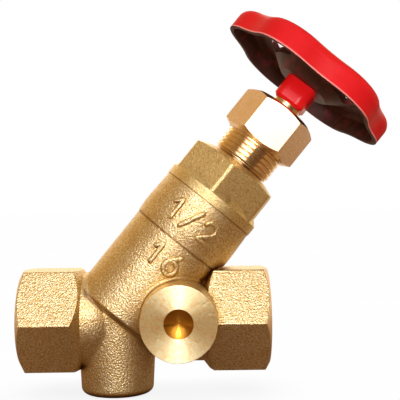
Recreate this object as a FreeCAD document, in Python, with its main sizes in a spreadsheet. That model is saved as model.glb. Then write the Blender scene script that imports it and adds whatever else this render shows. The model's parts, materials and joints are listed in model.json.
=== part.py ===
import FreeCAD, Part
import math
import os

import Sketcher

# Oblique-seat stop valve, G 1/2 female ends, rising spindle, pressed steel handwheel.
#
# Valve frame: origin at the centre of the inlet end face, +X along the pipe to the outlet, +Z up.
# Stem frame: origin where the spindle axis crosses the pipe axis, +Z outwards along the spindle.
# All lengths are millimetres and all angles degrees.  The valve is modelled closed.

Vector = FreeCAD.Vector
Rotation = FreeCAD.Rotation
Placement = FreeCAD.Placement

SIZES = {
    # pipe run
    "inlet_run": 24.5,
    "outlet_run": 40.5,
    "end_hex_inset": 0.3,
    "inlet_hex_overlap": 5.1,
    "outlet_hex_gap": 12.7,
    "end_hex_corner_round": 0.6,
    "end_face_radius": 12.4,
    "end_chamfer_angle": 30.0,
    "hex_shoulder_angle": 38.0,
    "pipe_thread_radius": 10.478,
    "pipe_thread_depth": 12.5,
    "passage_radius": 7.25,
    "inlet_dome_inset": 1.1,
    "inlet_dome_overlap": 5.3,
    "inlet_turn_back": 4.0,
    "outlet_dome_inset": 1.8,
    "outlet_dome_gap": 5.2,
    "outlet_root_blend": 0.6,
    "front_boss_blend": 0.8,
    "inlet_root_blend": 1.5,
    "drain_boss_blend": 1.5,
    # oblique barrel, stations measured along the spindle axis
    "stem_angle": 50.5,
    "barrel_radius": 13.3,
    "barrel_foot": 1.0,
    "barrel_foot_bevel": 1.5,
    "collar_step": 0.45,
    "collar_foot": 26.5,
    "collar_foot_step": 0.2,
    "collar_foot_slope": 3.0,
    "collar_straight": 2.5,
    "collar_taper": 0.3,
    "collar_overlap": 1.0,
    "joint_station": 39.2,
    "chamber_wall": 2.7,
    # seat
    "throat_radius": 6.5,
    "throat_foot": -3.0,
    "seat_station": 5.0,
    "seat_land_radius": 8.4,
    "seat_height": 1.0,
    # bosses
    "drain_boss_ahead": 0.25,
    "drain_boss_inset": 3.8,
    "drain_boss_reach": 6.3,
    "drain_boss_root": 5.0,
    "drain_boss_round": 1.8,
    "front_boss_gap": 3.7,
    "front_boss_rise": 1.0,
    "front_boss_inset": 3.88,
    "front_boss_reach": 8.2,
    "boss_draft": 3.0,
    "dimple_radius": 3.7,
    "dimple_depth": 2.2,
    # body and bonnet joint
    "bonnet_thread_wall": 1.9,
    "bonnet_thread_length": 9.6,
    "gasket_land": 1.1,
    "gasket_thickness": 0.8,
    # bonnet
    "bonnet_collar_step": 0.2,
    "bonnet_collar_height": 2.6,
    "bonnet_collar_slope": 2.0,
    "bonnet_hex_flats": 24.0,
    "bonnet_hex_corner_round": 1.4,
    "bonnet_hex_height": 8.4,
    "bonnet_hex_turn": 6.0,
    "bonnet_top_radius": 9.2,
    "bonnet_top_slope": 22.0,
    "neck_radius": 7.45,
    "neck_length": 12.8,
    "neck_chamfer": 0.8,
    "bonnet_tail_chamfer": 0.8,
    # stuffing box
    "box_radius": 6.0,
    "box_depth": 15.0,
    "base_ring_height": 1.0,
    "packing_ring_height": 2.5,
    "follower_flange_radius": 7.2,
    "follower_flange_height": 2.0,
    # gland nut
    "gland_nut_flats": 19.0,
    "gland_nut_height": 12.0,
    "gland_nut_foot": 59.3,
    "gland_nut_face_radius": 8.6,
    "gland_nut_chamfer_angle": 30.0,
    "gland_nut_crown": 3.0,
    # spindle
    "stem_radius": 4.0,
    "stem_thread_radius": 5.5,
    "stem_thread_foot": 22.0,
    "stem_thread_length": 14.0,
    "stem_thread_runout": 1.0,
    "stem_relief_radius": 4.4,
    "stem_head_radius": 6.5,
    "stem_head_height": 3.0,
    "stem_travel": 8.0,
    "square_flats": 6.5,
    "screw_hole_depth": 9.0,
    # valve disc
    "disc_radius": 9.9,
    "disc_skirt_depth": 2.0,
    "disc_skirt_wall": 0.85,
    "disc_flange_height": 3.4,
    "disc_hub_radius": 8.6,
    "disc_hub_height": 8.0,
    "disc_floor": 3.4,
    "disc_stud_radius": 2.5,
    "disc_stud_length": 5.3,
    "seal_thickness": 3.0,
    "seal_washer_radius": 5.6,
    "seal_washer_thickness": 1.0,
    "seal_nut_flats": 8.0,
    "seal_nut_height": 4.0,
    "lock_nut_radius": 7.4,
    "lock_nut_height": 3.4,
    "lock_nut_slot_width": 2.0,
    "lock_nut_slot_depth": 1.2,
    # handwheel
    "wheel_radius": 25.1,
    "wheel_flute_count": 6,
    "wheel_flute_depth": 2.4,
    "wheel_crest_turn": 41.0,
    "wheel_clocking": 2.0,
    "wheel_rim_height": 6.7,
    "wheel_rim_round": 3.0,
    "wheel_inner_bevel": 1.1,
    "sheet_thickness": 1.25,
    "wheel_gap": 1.9,
    "hub_length": 6.6,
    "hub_corner_radius": 2.4,
    "hub_edge_bevel": 0.8,
    "hub_turn": -14.0,
    "dish_floor_radius": 7.6,
    "dish_mouth_radius": 15.4,
    "window_count": 3,
    "window_turn": 51.0,
    "window_inner_radius": 11.2,
    "window_outer_radius": 17.4,
    "window_span": 36.0,
    # handwheel fastening
    "screw_radius": 2.5,
    "screw_length": 10.0,
    "screw_head_flats": 8.0,
    "screw_head_height": 3.5,
    "washer_radius": 5.2,
    "washer_thickness": 1.0,
    "lock_washer_radius": 4.5,
    "lock_washer_thickness": 1.1,
    "lock_washer_gap": 0.8,
    # clearances
    "running_clearance": 0.05,
    "seating_clearance": 0.03,
    "axial_play": 0.05,
}

doc = FreeCAD.newDocument("stop_valve")
sheet = doc.addObject("Spreadsheet::Sheet", "Sizes")


def fill_sheet():
    """Write every driving dimension into the spreadsheet, name in A and aliased number in B."""
    for row, (name, value) in enumerate(SIZES.items(), start=1):
        sheet.set(f"A{row}", name)
        sheet.set(f"B{row}", str(value))
        sheet.setAlias(f"B{row}", name)
    doc.recompute()


class Size:
    """A length or angle that knows both its value and the spreadsheet expression behind it."""

    def __init__(self, value, text):
        self.value = value
        self.text = text

    def __add__(self, other):
        other = as_size(other)
        return Size(self.value + other.value, f"({self.text} + {other.text})")

    def __sub__(self, other):
        other = as_size(other)
        return Size(self.value - other.value, f"({self.text} - {other.text})")

    def __mul__(self, other):
        other = as_size(other)
        return Size(self.value * other.value, f"({self.text} * {other.text})")

    def __truediv__(self, other):
        other = as_size(other)
        return Size(self.value / other.value, f"({self.text} / {other.text})")

    def __radd__(self, other):
        return as_size(other) + self

    def __rsub__(self, other):
        return as_size(other) - self

    def __rmul__(self, other):
        return as_size(other) * self

    def __rtruediv__(self, other):
        return as_size(other) / self

    def __neg__(self):
        return as_size(0) - self


def as_size(number):
    """Accept a plain number wherever a Size is expected."""
    if isinstance(number, Size):
        return number
    return Size(float(number), repr(float(number)))


def tangent(angle):
    """Tangent of an angle in degrees."""
    return Size(math.tan(math.radians(angle.value)), f"tan({angle.text} * 1 deg)")


def cosine(angle):
    return Size(math.cos(math.radians(angle.value)), f"cos({angle.text} * 1 deg)")


def sine(angle):
    return Size(math.sin(math.radians(angle.value)), f"sin({angle.text} * 1 deg)")


class Sheet:
    """Gives every named dimension as a Size: dim.inlet_run, dim.stem_angle and so on."""

    def __getattr__(self, name):
        return Size(float(SIZES[name]), f"Sizes.{name}")


def named(alias, size):
    """Keep a derived size in the spreadsheet under its own alias, so that expressions stay short."""
    row = named.next_row
    sheet.set(f"A{row}", alias)
    sheet.set(f"B{row}", f"={size.text}")
    sheet.setAlias(f"B{row}", alias)
    named.next_row = row + 1
    return Size(size.value, f"Sizes.{alias}")


named.next_row = len(SIZES) + 2
dim = Sheet()
fill_sheet()
HEX_CORNER = 2.0 / math.sqrt(3.0)      # corner radius of a hexagon over half its flats
OVERRUN = 1.0                          # how far a cut runs past the face it starts from


def bind(obj, prop, size):
    """Set a property and tie it to the spreadsheet."""
    size = as_size(size)
    obj.setExpression(prop, size.text)


def bind_position(obj, prop, position):
    for axis, size in zip("xyz", position):
        bind(obj, f"{prop}.Base.{axis}", size)


# ---------------------------------------------------------------- derived stations and radii

# The casting is laid out from the spindle crossing and the barrel's two sides, and its round
# forms and hexagons, 26 mm across flats, take their size from the barrel's.
outlet_end = dim.inlet_run + dim.outlet_run
barrel_left = dim.inlet_run - dim.barrel_radius
barrel_right = dim.inlet_run + dim.barrel_radius
end_hex_flats = 2 * (dim.barrel_radius - dim.end_hex_inset)
inlet_hex_length = barrel_left + dim.inlet_hex_overlap
inlet_dome_radius = dim.barrel_radius - dim.inlet_dome_inset
inlet_dome_centre = barrel_left + dim.inlet_dome_overlap
inlet_turn_centre = dim.inlet_run - dim.inlet_turn_back
outlet_hex_length = outlet_end - barrel_right - dim.outlet_hex_gap
outlet_dome_radius = dim.barrel_radius - dim.outlet_dome_inset
outlet_dome_centre = barrel_right + dim.outlet_dome_gap
drain_boss_centre = dim.inlet_run + dim.drain_boss_ahead
drain_boss_radius = dim.barrel_radius - dim.drain_boss_inset
drain_boss_drop = dim.barrel_radius + dim.drain_boss_reach
front_boss_centre = barrel_right + dim.front_boss_gap
front_boss_radius = dim.barrel_radius - dim.front_boss_inset
front_boss_face = dim.barrel_radius + dim.front_boss_reach
end_hex_corner = end_hex_flats / 2 * HEX_CORNER
stem_tilt = 90 - dim.stem_angle

collar_radius = dim.barrel_radius + dim.collar_step
collar_top_radius = collar_radius - dim.collar_taper
chamber_radius = dim.barrel_radius - dim.chamber_wall
bonnet_thread_radius = dim.barrel_radius - dim.bonnet_thread_wall
gasket_radius = bonnet_thread_radius + dim.gasket_land
bonnet_collar_radius = collar_top_radius + dim.bonnet_collar_step
bonnet_seat = dim.joint_station
bonnet_tail = bonnet_seat - dim.gasket_thickness - dim.bonnet_thread_length
bonnet_collar_edge = bonnet_seat + dim.bonnet_collar_height
bonnet_hex_foot = bonnet_collar_edge + dim.bonnet_collar_slope
bonnet_top = bonnet_hex_foot + dim.bonnet_hex_height
bonnet_hex_corner = dim.bonnet_hex_flats / 2 * HEX_CORNER
neck_top = bonnet_top + dim.neck_length
box_floor = neck_top - dim.box_depth
stem_bore_radius = dim.stem_radius + dim.running_clearance
stem_thread_top = dim.stem_thread_foot + dim.stem_thread_length
stem_runout_top = stem_thread_top + dim.stem_thread_runout
thread_bore_top = stem_runout_top + dim.stem_travel

gland_nut_top = dim.gland_nut_foot + dim.gland_nut_height
gland_nut_corner = dim.gland_nut_flats / 2 * HEX_CORNER
gland_nut_roof = gland_nut_top - dim.gland_nut_crown

seal_top = dim.seat_station + dim.seal_thickness
disc_foot = seal_top - dim.disc_skirt_depth
disc_flange_top = disc_foot + dim.disc_flange_height
disc_socket_floor = seal_top + dim.disc_floor
disc_top = disc_socket_floor + dim.disc_hub_height
seal_washer_foot = dim.seat_station - dim.seal_washer_thickness
seal_nut_foot = seal_washer_foot - dim.seal_nut_height
head_foot = disc_socket_floor + dim.axial_play
head_top = head_foot + dim.stem_head_height
lock_nut_foot = head_top + dim.axial_play
lock_nut_top = lock_nut_foot + dim.lock_nut_height
lock_nut_bore = dim.stem_thread_radius + 2 * dim.running_clearance

hub_foot = gland_nut_top + dim.wheel_gap
dish_underside = hub_foot + dim.hub_length
dish_floor = dish_underside + dim.sheet_thickness
wheel_free_edge = dish_underside
wheel_crown = wheel_free_edge + dim.wheel_rim_height
web_underside = wheel_crown - dim.sheet_thickness
washer_top = dish_floor + dim.washer_thickness
lock_washer_top = washer_top + dim.lock_washer_thickness
stem_top = dish_floor - 2 * dim.axial_play
square_hole = dim.square_flats + 2 * dim.running_clearance
hub_flats = square_hole + 2 * dim.sheet_thickness
hub_heading = dim.wheel_clocking + dim.hub_turn      # one side of the square looks to the front
window_heading = dim.wheel_clocking - 90 + dim.window_turn

# The rim's outline is a ring of crest arcs, centred inside it, that run smoothly into flute arcs,
# centred outside it.  The wheel's centre and the centres of a crest and of the flute beside it
# form a triangle: its angles are known, and its scale follows from the depth of the flutes.
flute_half = named("flute_half_angle", 180 / dim.wheel_flute_count)
crest_turn = dim.wheel_crest_turn
rim_valley = named("rim_valley", dim.wheel_radius - dim.wheel_flute_depth)
triangle = named("rim_triangle", dim.wheel_flute_depth
                 / (sine(flute_half) + sine(crest_turn - flute_half) - sine(crest_turn)))
crest_centre = named("crest_centre", triangle * sine(crest_turn - flute_half))
crest_radius = named("crest_radius", dim.wheel_radius - crest_centre)
flute_centre = named("flute_centre", triangle * sine(crest_turn))
flute_radius = named("flute_radius", flute_centre - rim_valley)


# ---------------------------------------------------------------- modelling helpers

def new_body(label, in_stem_frame=True):
    """A PartDesign body; most sub-parts lie in the stem frame, the casting in the valve frame."""
    body = doc.addObject("PartDesign::Body", label)
    body.Label = label
    if in_stem_frame:
        body.Placement = Placement(Vector(), Rotation(Vector(0, 1, 0), stem_tilt.value))
        bind(body, "Placement.Base.x", dim.inlet_run)
        bind(body, "Placement.Rotation.Angle", stem_tilt)
    return body


def origin_plane(body, role):
    for feature in body.Origin.OriginFeatures:
        if feature.Role == role:
            return feature
    raise ValueError(f"{body.Label} has no {role}")


def new_sketch(body, name, role="XZ_Plane"):
    sketch = body.newObject("Sketcher::SketchObject", name)
    sketch.AttachmentSupport = [(origin_plane(body, role), "")]
    sketch.MapMode = "FlatFace"
    return sketch


def tilt_sketch(sketch):
    """Turn a sketch of the valve's middle plane so that its Y axis is the spindle axis."""
    sketch.AttachmentOffset = Placement(Vector(), Rotation(Vector(0, 0, -1), stem_tilt.value))
    bind(sketch, "AttachmentOffset.Base.x", dim.inlet_run)
    bind(sketch, "AttachmentOffset.Rotation.Angle", stem_tilt)


def constrain(sketch, size, kind, *elements):
    """Add a dimension to a sketch and tie it to the spreadsheet."""
    number = sketch.addConstraint(Sketcher.Constraint(kind, *elements, size.value))
    sketch.setExpression(f"Constraints[{number}]", size.text)


def line_between(start, end):
    return Part.LineSegment(Vector(start[0].value, start[1].value, 0),
                            Vector(end[0].value, end[1].value, 0))


def draw_outline(sketch, corners):
    """Closed outline of straight lines; each corner is dimensioned from the sketch origin."""
    points = [(as_size(x), as_size(y)) for x, y in corners]
    count = len(points)
    first = sketch.GeometryCount
    for index in range(count):
        line = line_between(points[index], points[(index + 1) % count])
        sketch.addGeometry(line, False)
    for index in range(count):
        following = first + (index + 1) % count
        sketch.addConstraint(Sketcher.Constraint("Coincident", first + index, 2, following, 1))
    for index, (x, y) in enumerate(points, start=first):
        constrain(sketch, x, "DistanceX", -1, 1, index, 1)
        constrain(sketch, y, "DistanceY", -1, 1, index, 1)


def draw_rectangle(sketch, width, depth):
    """Rectangle centred on the sketch origin."""
    draw_outline(sketch, [(-width / 2, -depth / 2), (width / 2, -depth / 2),
                          (width / 2, depth / 2), (-width / 2, depth / 2)])


def arc_between(centre, radius, start, end):
    """Arc of a circle that runs anticlockwise from the direction of start to that of end."""
    centre = Vector(centre[0].value, centre[1].value, 0)
    angles = []
    for point in (start, end):
        angles.append(math.atan2(point[1].value - centre.y, point[0].value - centre.x))
    circle = Part.Circle(centre, Vector(0, 0, 1), radius.value)
    return Part.ArcOfCircle(circle, angles[0], angles[1])


def turned(body, name, outline, cut=False, about="V_Axis", tilted=False):
    """Revolve a half section (radius, station) about the sketch axis, adding or cutting."""
    sketch = new_sketch(body, f"{name}_section")
    if tilted:
        tilt_sketch(sketch)
    draw_outline(sketch, outline)
    kind = "PartDesign::Groove" if cut else "PartDesign::Revolution"
    feature = body.newObject(kind, name)
    feature.Profile = sketch
    feature.ReferenceAxis = (sketch, [about])
    feature.Angle = 360.0
    return feature


def block(body, kind, name, sizes, position, rotation=None):
    """A PartDesign primitive such as AdditiveCylinder, with sizes and place from the sheet."""
    feature = body.newObject(f"PartDesign::{kind}", name)
    feature.Placement = Placement(Vector(), rotation or Rotation())
    for prop, size in sizes.items():
        bind(feature, prop, size)
    bind_position(feature, "Placement", position)
    return feature


def hexagon(body, name, corner_radius, height, position, rotation):
    feature = block(body, "AdditivePrism", name,
                    {"Circumradius": corner_radius, "Height": height}, position, rotation)
    feature.Polygon = 6
    return feature


def turn_sketch(sketch, station, angle):
    """Lift a cross-section sketch to its station and turn it; 0 leaves its X axis along the body's."""
    sketch.AttachmentOffset = Placement(Vector(), Rotation(Vector(0, 0, 1), as_size(angle).value))
    bind(sketch, "AttachmentOffset.Base.z", station)
    bind(sketch, "AttachmentOffset.Rotation.Angle", angle)


def extruded(body, name, sketch, kind, length=None, midplane=False, reverse=False, through=False):
    feature = body.newObject(f"PartDesign::{kind}", name)
    feature.Profile = sketch
    if through:
        feature.Type = "ThroughAll"
    else:
        bind(feature, "Length", length)
    feature.Midplane = midplane
    feature.Reversed = reverse
    return feature


def rounded(body, name, base, radius, pick):
    """Fillet the edges of the body's latest feature for which pick(edge) is true."""
    doc.recompute()
    edges = [f"Edge{number}" for number, edge in enumerate(base.Shape.Edges, start=1) if pick(edge)]
    if not edges:
        raise ValueError(f"{name}: no edges to round")
    feature = body.newObject("PartDesign::Fillet", name)
    feature.Base = (base, edges)
    bind(feature, "Radius", radius)
    return feature


def bevelled(body, name, base, size, pick):
    """Chamfer the edges of the body's latest feature for which pick(edge) is true."""
    doc.recompute()
    edges = [f"Edge{number}" for number, edge in enumerate(base.Shape.Edges, start=1) if pick(edge)]
    if not edges:
        raise ValueError(f"{name}: no edges to chamfer")
    feature = body.newObject("PartDesign::Chamfer", name)
    feature.Base = (base, edges)
    bind(feature, "Size", size)
    return feature


def circle_at(radius, height=None, axis=2):
    """Picks full circles of a radius, at a coordinate along the given axis where one is given."""
    def pick(edge):
        if edge.Degenerated or not isinstance(edge.Curve, Part.Circle):
            return False
        if abs(edge.Curve.Radius - radius.value) > 1e-4:
            return False
        return height is None or abs(edge.Curve.Center[axis] - height.value) < 1e-4
    return pick


def flat_at(height):
    """Picks edges that lie in the plane z = height."""
    def pick(edge):
        if edge.Degenerated:
            return False
        box = edge.BoundBox
        return max(abs(box.ZMin - height.value), abs(box.ZMax - height.value)) < 1e-3
    return pick


def upright_at(radius):
    """Picks straight edges parallel to the body's Z axis, at a distance from it."""
    def pick(edge):
        if edge.Degenerated or not isinstance(edge.Curve, Part.Line):
            return False
        middle = edge.valueAt(0.5 * (edge.FirstParameter + edge.LastParameter))
        upright = abs(abs(edge.Curve.Direction.z) - 1) < 1e-6
        return upright and abs(math.hypot(middle.x, middle.y) - radius.value) < 0.05
    return pick


def along_x_at(radius):
    """Picks straight edges parallel to the body's X axis, at a distance from it."""
    def pick(edge):
        if edge.Degenerated or not isinstance(edge.Curve, Part.Line):
            return False
        middle = edge.valueAt(0.5 * (edge.FirstParameter + edge.LastParameter))
        lengthwise = abs(abs(edge.Curve.Direction.x) - 1) < 1e-6
        return lengthwise and abs(math.hypot(middle.y, middle.z) - radius.value) < 1e-3
    return pick


def round_of(kind, radius):
    """True for cylinders or spheres of a radius."""
    def matches(surface):
        return isinstance(surface, kind) and abs(surface.Radius - radius.value) < 1e-4
    return matches


def cone_along(direction):
    """True for cones whose axis is parallel to a direction."""
    def matches(surface):
        return isinstance(surface, Part.Cone) and abs(abs(surface.Axis * direction) - 1) < 1e-6
    return matches


def any_surface(surface):
    return True


def either(first, second):
    def matches(surface):
        return first(surface) or second(surface)
    return matches


def seam_of(base, first, second):
    """Picks edges of a feature, other than circles, where faces of two kinds meet."""
    def pick(edge):
        if edge.Degenerated or isinstance(edge.Curve, Part.Circle):
            return False
        faces = [face.Surface for face in base.Shape.ancestorsOfType(edge, Part.Face)]
        if len(faces) != 2:
            return False
        one, other = faces
        return (first(one) and second(other)) or (first(other) and second(one))
    return pick


ALONG_X = Rotation(Vector(0, 1, 0), 90)
TOWARDS_FRONT = Rotation(Vector(1, 0, 0), 90)
DOWNWARDS = Rotation(Vector(1, 0, 0), 180)
SPINDLE = Vector(cosine(dim.stem_angle).value, 0, sine(dim.stem_angle).value)


# ---------------------------------------------------------------- body casting

def add_pipe_end(body, side, face, inward, length, tube_radius):
    """Hexagon end of the pipe run, turned to a cone at its face and shouldered where it ends."""
    foot = face if inward > 0 else face - length
    prism = hexagon(body, f"{side}_hexagon", end_hex_corner, length, (foot, 0, 0),
                    ALONG_X.multiply(Rotation(Vector(0, 0, 1), 30)))
    rounded(body, f"{side}_hexagon_corners", prism, dim.end_hex_corner_round,
            along_x_at(end_hex_corner))
    outside = end_hex_corner + OVERRUN
    face_depth = (outside - dim.end_face_radius) * tangent(dim.end_chamfer_angle)
    turned(body, f"{side}_face_chamfer",
           [(face, dim.end_face_radius), (face, outside), (face + inward * face_depth, outside)],
           cut=True, about="H_Axis")
    shoulder = face + inward * length
    shoulder_depth = (outside - tube_radius) * tangent(dim.hex_shoulder_angle)
    turned(body, f"{side}_shoulder",
           [(shoulder, tube_radius), (shoulder, outside),
            (shoulder - inward * shoulder_depth, outside)],
           cut=True, about="H_Axis")


def add_outlet(body):
    """Outlet hexagon, the round tube behind it and the dome that ends the tube."""
    tube = outlet_end - outlet_dome_centre - outlet_hex_length / 2
    block(body, "AdditiveCylinder", "outlet_tube",
          {"Radius": outlet_dome_radius, "Height": tube},
          (outlet_dome_centre, 0, 0), ALONG_X)
    add_pipe_end(body, "outlet", outlet_end, -1, outlet_hex_length, outlet_dome_radius)
    block(body, "AdditiveSphere", "outlet_dome", {"Radius": outlet_dome_radius},
          (outlet_dome_centre, 0, 0))


def add_inlet(body):
    """Inlet hexagon, the round tube behind it and the dome under the barrel."""
    tube = inlet_dome_centre - inlet_hex_length / 2
    block(body, "AdditiveCylinder", "inlet_tube",
          {"Radius": inlet_dome_radius, "Height": tube},
          (inlet_hex_length / 2, 0, 0), ALONG_X)
    add_pipe_end(body, "inlet", as_size(0), 1, inlet_hex_length, inlet_dome_radius)
    dome = block(body, "AdditiveSphere", "inlet_dome", {"Radius": inlet_dome_radius},
                 (inlet_dome_centre, 0, 0))
    rounded(body, "inlet_root", dome, dim.inlet_root_blend,
            seam_of(dome, round_of(Part.Sphere, inlet_dome_radius),
                    either(round_of(Part.Cylinder, dim.barrel_radius), cone_along(SPINDLE))))


def add_barrel(body):
    """Oblique barrel, turned about the spindle axis and blended into the outlet."""
    bevel = dim.barrel_foot_bevel
    barrel = turned(body, "barrel",
                    [(0, dim.barrel_foot), (dim.barrel_radius - bevel, dim.barrel_foot),
                     (dim.barrel_radius, dim.barrel_foot + bevel),
                     (dim.barrel_radius, bonnet_seat), (0, bonnet_seat)], tilted=True)
    rounded(body, "outlet_root", barrel, dim.outlet_root_blend,
            seam_of(barrel, round_of(Part.Cylinder, dim.barrel_radius), any_surface))


def add_collar(body):
    """Thicker collar round the top of the barrel: a low step, then sloped out and in again."""
    slope_top = dim.collar_foot + dim.collar_foot_slope
    taper_foot = slope_top + dim.collar_straight
    inside = dim.barrel_radius - dim.collar_overlap
    turned(body, "collar",
           [(inside, dim.collar_foot), (dim.barrel_radius + dim.collar_foot_step, dim.collar_foot),
            (collar_radius, slope_top), (collar_radius, taper_foot),
            (collar_top_radius, bonnet_seat), (inside, bonnet_seat)], tilted=True)


def add_boss(body, name, radius, depth, position, rotation):
    """Round cast boss that widens inwards by its draft."""
    root_radius = radius + depth * tangent(dim.boss_draft)
    return block(body, "AdditiveCone", name,
                 {"Radius1": root_radius, "Radius2": radius, "Height": depth}, position, rotation)


def cut_passages(body):
    """Threaded ends, the two passages and the chamber round the valve disc."""
    for side, floor in (("inlet", 0), ("outlet", outlet_end - dim.pipe_thread_depth)):
        block(body, "SubtractiveCylinder", f"{side}_thread_bore",
              {"Radius": dim.pipe_thread_radius, "Height": dim.pipe_thread_depth},
              (floor, 0, 0), ALONG_X)
    block(body, "SubtractiveCylinder", "inlet_passage",
          {"Radius": dim.passage_radius, "Height": inlet_turn_centre}, (0, 0, 0), ALONG_X)
    block(body, "SubtractiveSphere", "inlet_turn",
          {"Radius": dim.passage_radius}, (inlet_turn_centre, 0, 0))
    block(body, "SubtractiveCylinder", "outlet_passage",
          {"Radius": dim.passage_radius, "Height": outlet_end - outlet_dome_centre},
          (outlet_dome_centre, 0, 0), ALONG_X)
    block(body, "SubtractiveSphere", "outlet_turn",
          {"Radius": dim.passage_radius}, (outlet_dome_centre, 0, 0))
    chamber_floor = dim.seat_station - dim.seat_height
    gasket_ledge = bonnet_seat - dim.gasket_thickness
    relief = bonnet_thread_radius - chamber_radius
    above = bonnet_seat + OVERRUN
    return turned(body, "chamber",
                  [(0, dim.throat_foot), (dim.throat_radius, dim.throat_foot),
                   (dim.throat_radius, dim.seat_station), (dim.seat_land_radius, dim.seat_station),
                   (dim.seat_land_radius, chamber_floor), (chamber_radius, chamber_floor),
                   (chamber_radius, bonnet_tail - relief),
                   (bonnet_thread_radius, bonnet_tail),
                   (bonnet_thread_radius, gasket_ledge), (gasket_radius, gasket_ledge),
                   (gasket_radius, above), (0, above)], cut=True, tilted=True)


def add_front_boss(body):
    """Blank boss on the side of the outlet, blended into the dome and the tube."""
    boss = add_boss(body, "front_boss", front_boss_radius, front_boss_face,
                    (front_boss_centre, 0, dim.front_boss_rise), TOWARDS_FRONT)
    outlet = either(round_of(Part.Sphere, outlet_dome_radius),
                    round_of(Part.Cylinder, outlet_dome_radius))
    rounded(body, "front_boss_root", boss, dim.front_boss_blend,
            seam_of(boss, cone_along(Vector(0, 1, 0)), outlet))


def add_drain_boss(body):
    """Blank boss under the barrel, rounded at its edge and blended into the inlet dome."""
    boss = add_boss(body, "drain_boss", drain_boss_radius,
                    drain_boss_drop + dim.drain_boss_root,
                    (drain_boss_centre, 0, dim.drain_boss_root), DOWNWARDS)
    edge = rounded(body, "drain_boss_edge", boss, dim.drain_boss_round,
                   circle_at(drain_boss_radius, -drain_boss_drop))
    rounded(body, "drain_boss_root", edge, dim.drain_boss_blend,
            seam_of(edge, cone_along(Vector(0, 0, 1)),
                    round_of(Part.Sphere, inlet_dome_radius)))


def make_body():
    """Cast body: pipe run, oblique barrel, two blank bosses, then everything machined out of it."""
    body = new_body("body", in_stem_frame=False)
    add_outlet(body)
    add_barrel(body)
    add_front_boss(body)
    add_inlet(body)
    add_drain_boss(body)
    add_collar(body)
    cut_passages(body)
    block(body, "SubtractiveCone", "front_boss_dimple",
          {"Radius1": dim.dimple_radius, "Radius2": 0, "Height": dim.dimple_depth},
          (front_boss_centre, -front_boss_face, dim.front_boss_rise),
          Rotation(Vector(1, 0, 0), -90))
    return body


# ---------------------------------------------------------------- bonnet and its gasket

def make_ring(label, inner, outer, foot, height):
    """Plain ring about the spindle axis."""
    body = new_body(label)
    turned(body, "ring", [(inner, foot), (outer, foot), (outer, foot + height),
                          (inner, foot + height)])
    return body


def make_bonnet_gasket():
    return make_ring("bonnet_gasket", bonnet_thread_radius + dim.seating_clearance,
                     gasket_radius - dim.seating_clearance,
                     bonnet_seat - dim.gasket_thickness, dim.gasket_thickness)


def make_bonnet():
    """Bonnet: threaded tail, sloped collar, spanner hexagon, threaded neck and stuffing box."""
    body = new_body("bonnet")
    towards_front = Rotation(Vector(0, 0, 1), -90 - dim.bonnet_hex_turn.value)
    prism = hexagon(body, "spanner_hexagon", bonnet_hex_corner, bonnet_top - bonnet_seat,
                    (0, 0, bonnet_seat), towards_front)
    rounded(body, "hexagon_corners", prism, dim.bonnet_hex_corner_round,
            upright_at(bonnet_hex_corner))
    tail_radius = bonnet_thread_radius - dim.seating_clearance
    turned(body, "tail_and_collar",
           [(0, bonnet_tail), (tail_radius - dim.bonnet_tail_chamfer, bonnet_tail),
            (tail_radius, bonnet_tail + dim.bonnet_tail_chamfer),
            (tail_radius, bonnet_seat), (bonnet_collar_radius, bonnet_seat),
            (bonnet_collar_radius, bonnet_collar_edge),
            (dim.bonnet_hex_flats / 2, bonnet_hex_foot), (0, bonnet_hex_foot)])
    outside = bonnet_hex_corner + OVERRUN
    slope = (outside - dim.bonnet_top_radius) * tangent(dim.bonnet_top_slope)
    turned(body, "hexagon_top_chamfer",
           [(dim.bonnet_top_radius, bonnet_top), (outside, bonnet_top),
            (outside, bonnet_top - slope)], cut=True)
    turned(body, "neck",
           [(0, bonnet_hex_foot), (dim.neck_radius, bonnet_hex_foot),
            (dim.neck_radius, neck_top - dim.neck_chamfer),
            (dim.neck_radius - dim.neck_chamfer, neck_top), (0, neck_top)])
    thread_bore = dim.stem_thread_radius + dim.running_clearance
    turned(body, "spindle_bore",
           [(0, bonnet_tail - OVERRUN), (thread_bore, bonnet_tail - OVERRUN),
            (thread_bore, thread_bore_top),
            (stem_bore_radius, thread_bore_top), (stem_bore_radius, box_floor),
            (dim.box_radius, box_floor), (dim.box_radius, neck_top + OVERRUN),
            (0, neck_top + OVERRUN)], cut=True)
    return body


# ---------------------------------------------------------------- stuffing box

def make_packing():
    """Metal base ring, then three packing rings, stacked in the stuffing box."""
    outer = dim.box_radius - dim.seating_clearance
    parts = [make_ring("packing_base_ring", stem_bore_radius, outer, box_floor,
                       dim.base_ring_height)]
    foot = box_floor + dim.base_ring_height
    for place in ("lower", "middle", "upper"):
        parts.append(make_ring(f"packing_ring_{place}", stem_bore_radius, outer, foot,
                               dim.packing_ring_height))
        foot = foot + dim.packing_ring_height
    return parts


def make_gland_follower():
    """Flanged bush between the packing and the roof of the gland nut."""
    body = new_body("gland_follower")
    foot = box_floor + dim.base_ring_height + 3 * dim.packing_ring_height
    flange_foot = gland_nut_roof - dim.follower_flange_height
    tube = dim.box_radius - dim.running_clearance
    turned(body, "bush",
           [(stem_bore_radius, foot), (tube, foot), (tube, flange_foot),
            (dim.follower_flange_radius, flange_foot), (dim.follower_flange_radius, gland_nut_roof),
            (stem_bore_radius, gland_nut_roof)])
    return body


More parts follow.
